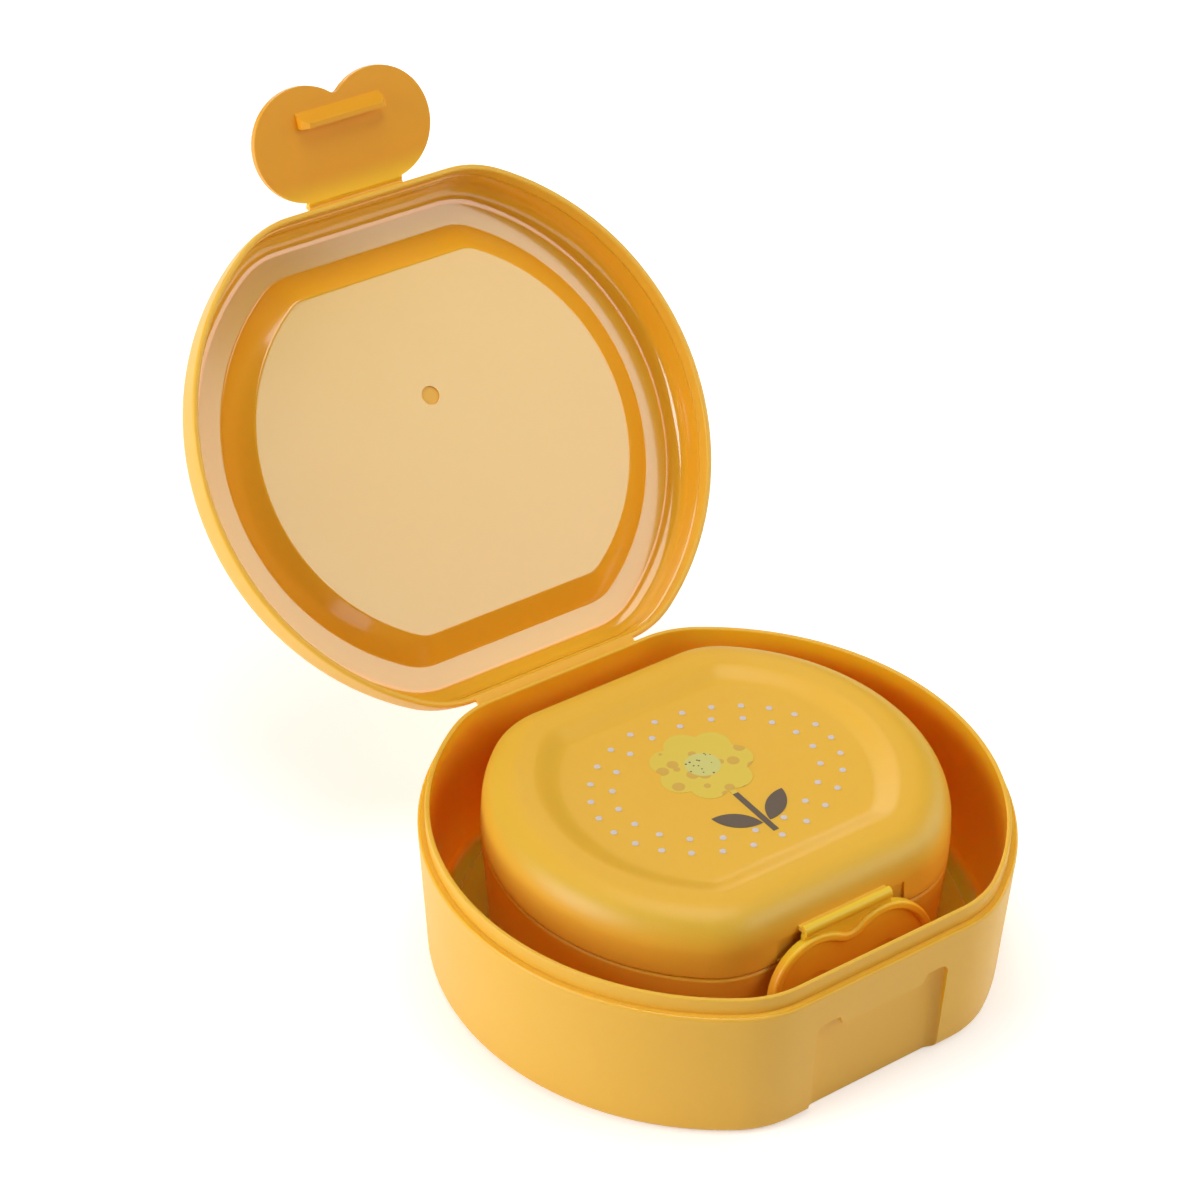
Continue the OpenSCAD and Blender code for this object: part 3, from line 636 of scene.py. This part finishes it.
def printMaterial(look):
    # flat inks laid side by side: which ink a point has follows from where it is on the lid; they
    # take on the lid's grain, which is drawn coarser than it is
    mat = bpy.data.materials.new(look["name"])
    mat.use_nodes = True
    tree = mat.node_tree
    shader = tree.nodes["Principled BSDF"]
    place = addNode(tree, "ShaderNodeTexCoord").outputs["Object"]
    head = Vector((look["headX"], look["headY"], look["headZ"])) * mm
    fromHead = addNode(tree, "ShaderNodeVectorMath", {"operation": "DISTANCE"}, i0=place, i1=head)
    middle = Vector((look["headX"], look["middleY"], 0)) * mm
    moved = addNode(tree, "ShaderNodeVectorMath", {"operation": "SUBTRACT"}, i0=place, i1=middle)
    apart = addNode(tree, "ShaderNodeSeparateXYZ", i0=moved.outputs[0])
    across = addNode(tree, "ShaderNodeMath", {"operation": "ABSOLUTE"}, i0=apart.outputs["X"])
    rounded = addNode(tree, "ShaderNodeVectorMath", {"operation": "MULTIPLY"}, i0=moved.outputs[0],
                      i1=(1, 1 / look["flatness"], 0))
    ringR = addNode(tree, "ShaderNodeVectorMath", {"operation": "LENGTH"}, i0=rounded.outputs[0])
    spots = addNode(tree, "ShaderNodeTexVoronoi", Vector=place, Scale=1 / (look["spotMm"] * mm))
    specks = addNode(tree, "ShaderNodeTexVoronoi", Vector=place, Scale=1 / (look["speckMm"] * mm))

    # each ink covers those before it, where all its values lie below their limits
    inRing = (ringR.outputs["Value"], look["dotsFrom"] * mm)
    inReach = (ringR.outputs["Value"], look["stemReach"] * mm)
    inStem = (across.outputs[0], look["stemHalf"] * mm)
    inPetals = (fromHead.outputs["Value"], look["petalsR"] * mm)
    inCentre = (fromHead.outputs["Value"], look["centreR"] * mm)
    inSpot = (spots.outputs["Distance"], look["spotShare"])
    inSpeck = (specks.outputs["Distance"], look["speckShare"])
    layers = [("stem", [inRing]), ("stem", [inStem, inReach]), ("petal", [inPetals]),
              ("spot", [inPetals, inSpot]), ("centre", [inCentre]), ("stem", [inCentre, inSpeck])]
    ink = linear(look["dot"])
    for colour, tests in layers:
        mask = 1.0
        for value, limit in tests:
            below = addNode(tree, "ShaderNodeMath", {"operation": "LESS_THAN"}, i0=value, i1=limit)
            mask = addNode(tree, "ShaderNodeMath", {"operation": "MULTIPLY"}, i0=below.outputs[0],
                           i1=mask).outputs[0]
        ink = addNode(tree, "ShaderNodeMix", {"data_type": "RGBA"}, i0=mask, i6=ink,
                      i7=linear(look[colour])).outputs[2]
    tree.links.new(ink, shader.inputs["Base Color"])
    grain = addNode(tree, "ShaderNodeTexNoise", Vector=place, Scale=1 / (look["grainMm"] * mm),
                    Detail=look["grainDetail"])
    bump = addNode(tree, "ShaderNodeBump", Strength=look["bump"], Distance=look["grainDeepMm"] * mm,
                   Height=grain.outputs["Fac"])
    tree.links.new(bump.outputs[0], shader.inputs["Normal"])
    shader.inputs["Roughness"].default_value = look["roughness"]
    return mat


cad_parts["inner_lid_print"].material_slots[0].material = printMaterial(printLook)
print("print inked")


# camera: angles in degrees, focal length and frame in pixels, the rest in millimetres

camera = {"azimuth": -35.339, "elevation": 35.837, "roll": 0.971, "distance": 808.092, "focal": 3196.374,
          "across": 29.152, "upward": -64.639, "aim": (0, 0, 25), "frame": 1200, "sensor": 36,
          "nearest": 50}


def addCamera(c):
    a, e, roll = (math.radians(c[key]) for key in ("azimuth", "elevation", "roll"))
    back = Vector((math.sin(a) * math.cos(e), -math.cos(a) * math.cos(e), math.sin(e)))
    right = Vector((math.cos(a), math.sin(a), 0))
    up = back.cross(right)
    right, up = (right * math.cos(roll) + up * math.sin(roll),
                 up * math.cos(roll) - right * math.sin(roll))
    place = (Vector(c["aim"]) - right * c["across"] - up * c["upward"] + back * c["distance"]) * mm
    data = bpy.data.cameras.new("studioCamera")
    data.sensor_width = c["sensor"]
    data.lens = c["focal"] / c["frame"] * c["sensor"]
    data.clip_start = c["nearest"] * mm
    obj = bpy.data.objects.new("studioCamera", data)
    bpy.context.scene.collection.objects.link(obj)
    obj.matrix_world = Matrix.Translation(place) @ Matrix((right, up, back)).transposed().to_4x4()
    bpy.context.scene.camera = obj


addCamera(camera)


# floor and light: lengths in metres, power in watts

studio = {"floorSize": 8, "floorDrop": 0.0002, "floorColour": "#F4F3F1", "floorRoughness": 0.9,
          "floorLift": 0.42, "shadowReach": 0.4, "lampReach": 1.6, "worldLight": 0.02,
          "lampAim": (0, 0.05, 0.08),
          "softboxes": [
              {"name": "leftSoftbox", "towards": (-0.9, 0.15, 0.35), "distance": 1.4,
               "size": (0.8, 0.8), "power": 14},
              {"name": "topSoftbox", "towards": (0, 0, 1), "distance": 1.4,
               "size": (0.9, 0.9), "power": 7.9},
              {"name": "backSoftbox", "towards": (0.3, 0.9, 0.4), "distance": 1.4,
               "size": (0.8, 0.8), "power": 5.7},
              {"name": "rightSoftbox", "towards": (0.9, -0.2, 0.3), "distance": 1.4,
               "size": (0.8, 0.8), "power": 4.6},
              {"name": "reflectorCard", "towards": (0.465, -0.672, 0.576), "distance": 1.3,
               "size": (0.85, 0.55), "power": 4.6}]}


def buildFloor(s):
    pickNone()
    bpy.ops.mesh.primitive_plane_add(size=s["floorSize"], location=(0, 0, -s["floorDrop"]))
    floor = bpy.context.object
    floor.name = "studioFloor"
    mat = bpy.data.materials.new("matt_paper_floor")
    mat.use_nodes = True
    tree = mat.node_tree
    shader = tree.nodes["Principled BSDF"]
    shader.inputs["Base Color"].default_value = linear(s["floorColour"])
    shader.inputs["Roughness"].default_value = s["floorRoughness"]
    # seen straight or in a reflection the paper is lifted to white: little round the object, to keep
    # the shadow on it, and fully where the lamps no longer reach
    place = addNode(tree, "ShaderNodeTexCoord").outputs["Object"]
    away = addNode(tree, "ShaderNodeVectorMath", {"operation": "LENGTH"}, i0=place)
    level = addNode(tree, "ShaderNodeMapRange", Value=away.outputs["Value"], From_Min=s["shadowReach"],
                    From_Max=s["lampReach"], To_Min=s["floorLift"], To_Max=1.0)
    ray = addNode(tree, "ShaderNodeLightPath")
    seen = ray.outputs["Is Camera Ray"]
    for kind in ("Is Glossy Ray", "Is Transmission Ray"):
        seen = addNode(tree, "ShaderNodeMath", {"operation": "MAXIMUM"}, i0=seen,
                       i1=ray.outputs[kind]).outputs[0]
    lift = addNode(tree, "ShaderNodeMath", {"operation": "MULTIPLY"}, i0=seen, i1=level.outputs[0])
    white = addNode(tree, "ShaderNodeEmission", Color=(1, 1, 1, 1), Strength=lift.outputs[0])
    both = addNode(tree, "ShaderNodeAddShader", i0=shader.outputs[0], i1=white.outputs[0])
    tree.links.new(both.outputs[0], tree.nodes["Material Output"].inputs[0])
    floor.data.materials.append(mat)


def buildLights(s):
    # the camera sees a white world that gives the object only a little light
    world = bpy.data.worlds.new("studioWorld")
    world.use_nodes = True
    tree = world.node_tree
    ray = addNode(tree, "ShaderNodeLightPath")
    lit = tree.nodes["Background"]
    lit.inputs[0].default_value = (1, 1, 1, 1)
    lit.inputs[1].default_value = s["worldLight"]
    seen = addNode(tree, "ShaderNodeBackground", Color=(1, 1, 1, 1), Strength=1.0)
    pick = addNode(tree, "ShaderNodeMixShader", i0=ray.outputs["Is Camera Ray"], i1=lit.outputs[0],
                   i2=seen.outputs[0])
    tree.links.new(pick.outputs[0], tree.nodes["World Output"].inputs[0])
    bpy.context.scene.world = world
    for lamp in s["softboxes"]:
        data = bpy.data.lights.new(lamp["name"], "AREA")
        data.shape = "RECTANGLE"
        data.size, data.size_y = lamp["size"]
        data.energy = lamp["power"]
        obj = bpy.data.objects.new(lamp["name"], data)
        bpy.context.scene.collection.objects.link(obj)
        direction = Vector(lamp["towards"]).normalized()
        obj.location = Vector(s["lampAim"]) + direction * lamp["distance"]
        obj.rotation_euler = direction.to_track_quat("Z", "Y").to_euler()


buildFloor(studio)
buildLights(studio)
bpy.context.scene.view_settings.view_transform = "Standard"
print("camera, floor and lamps set")
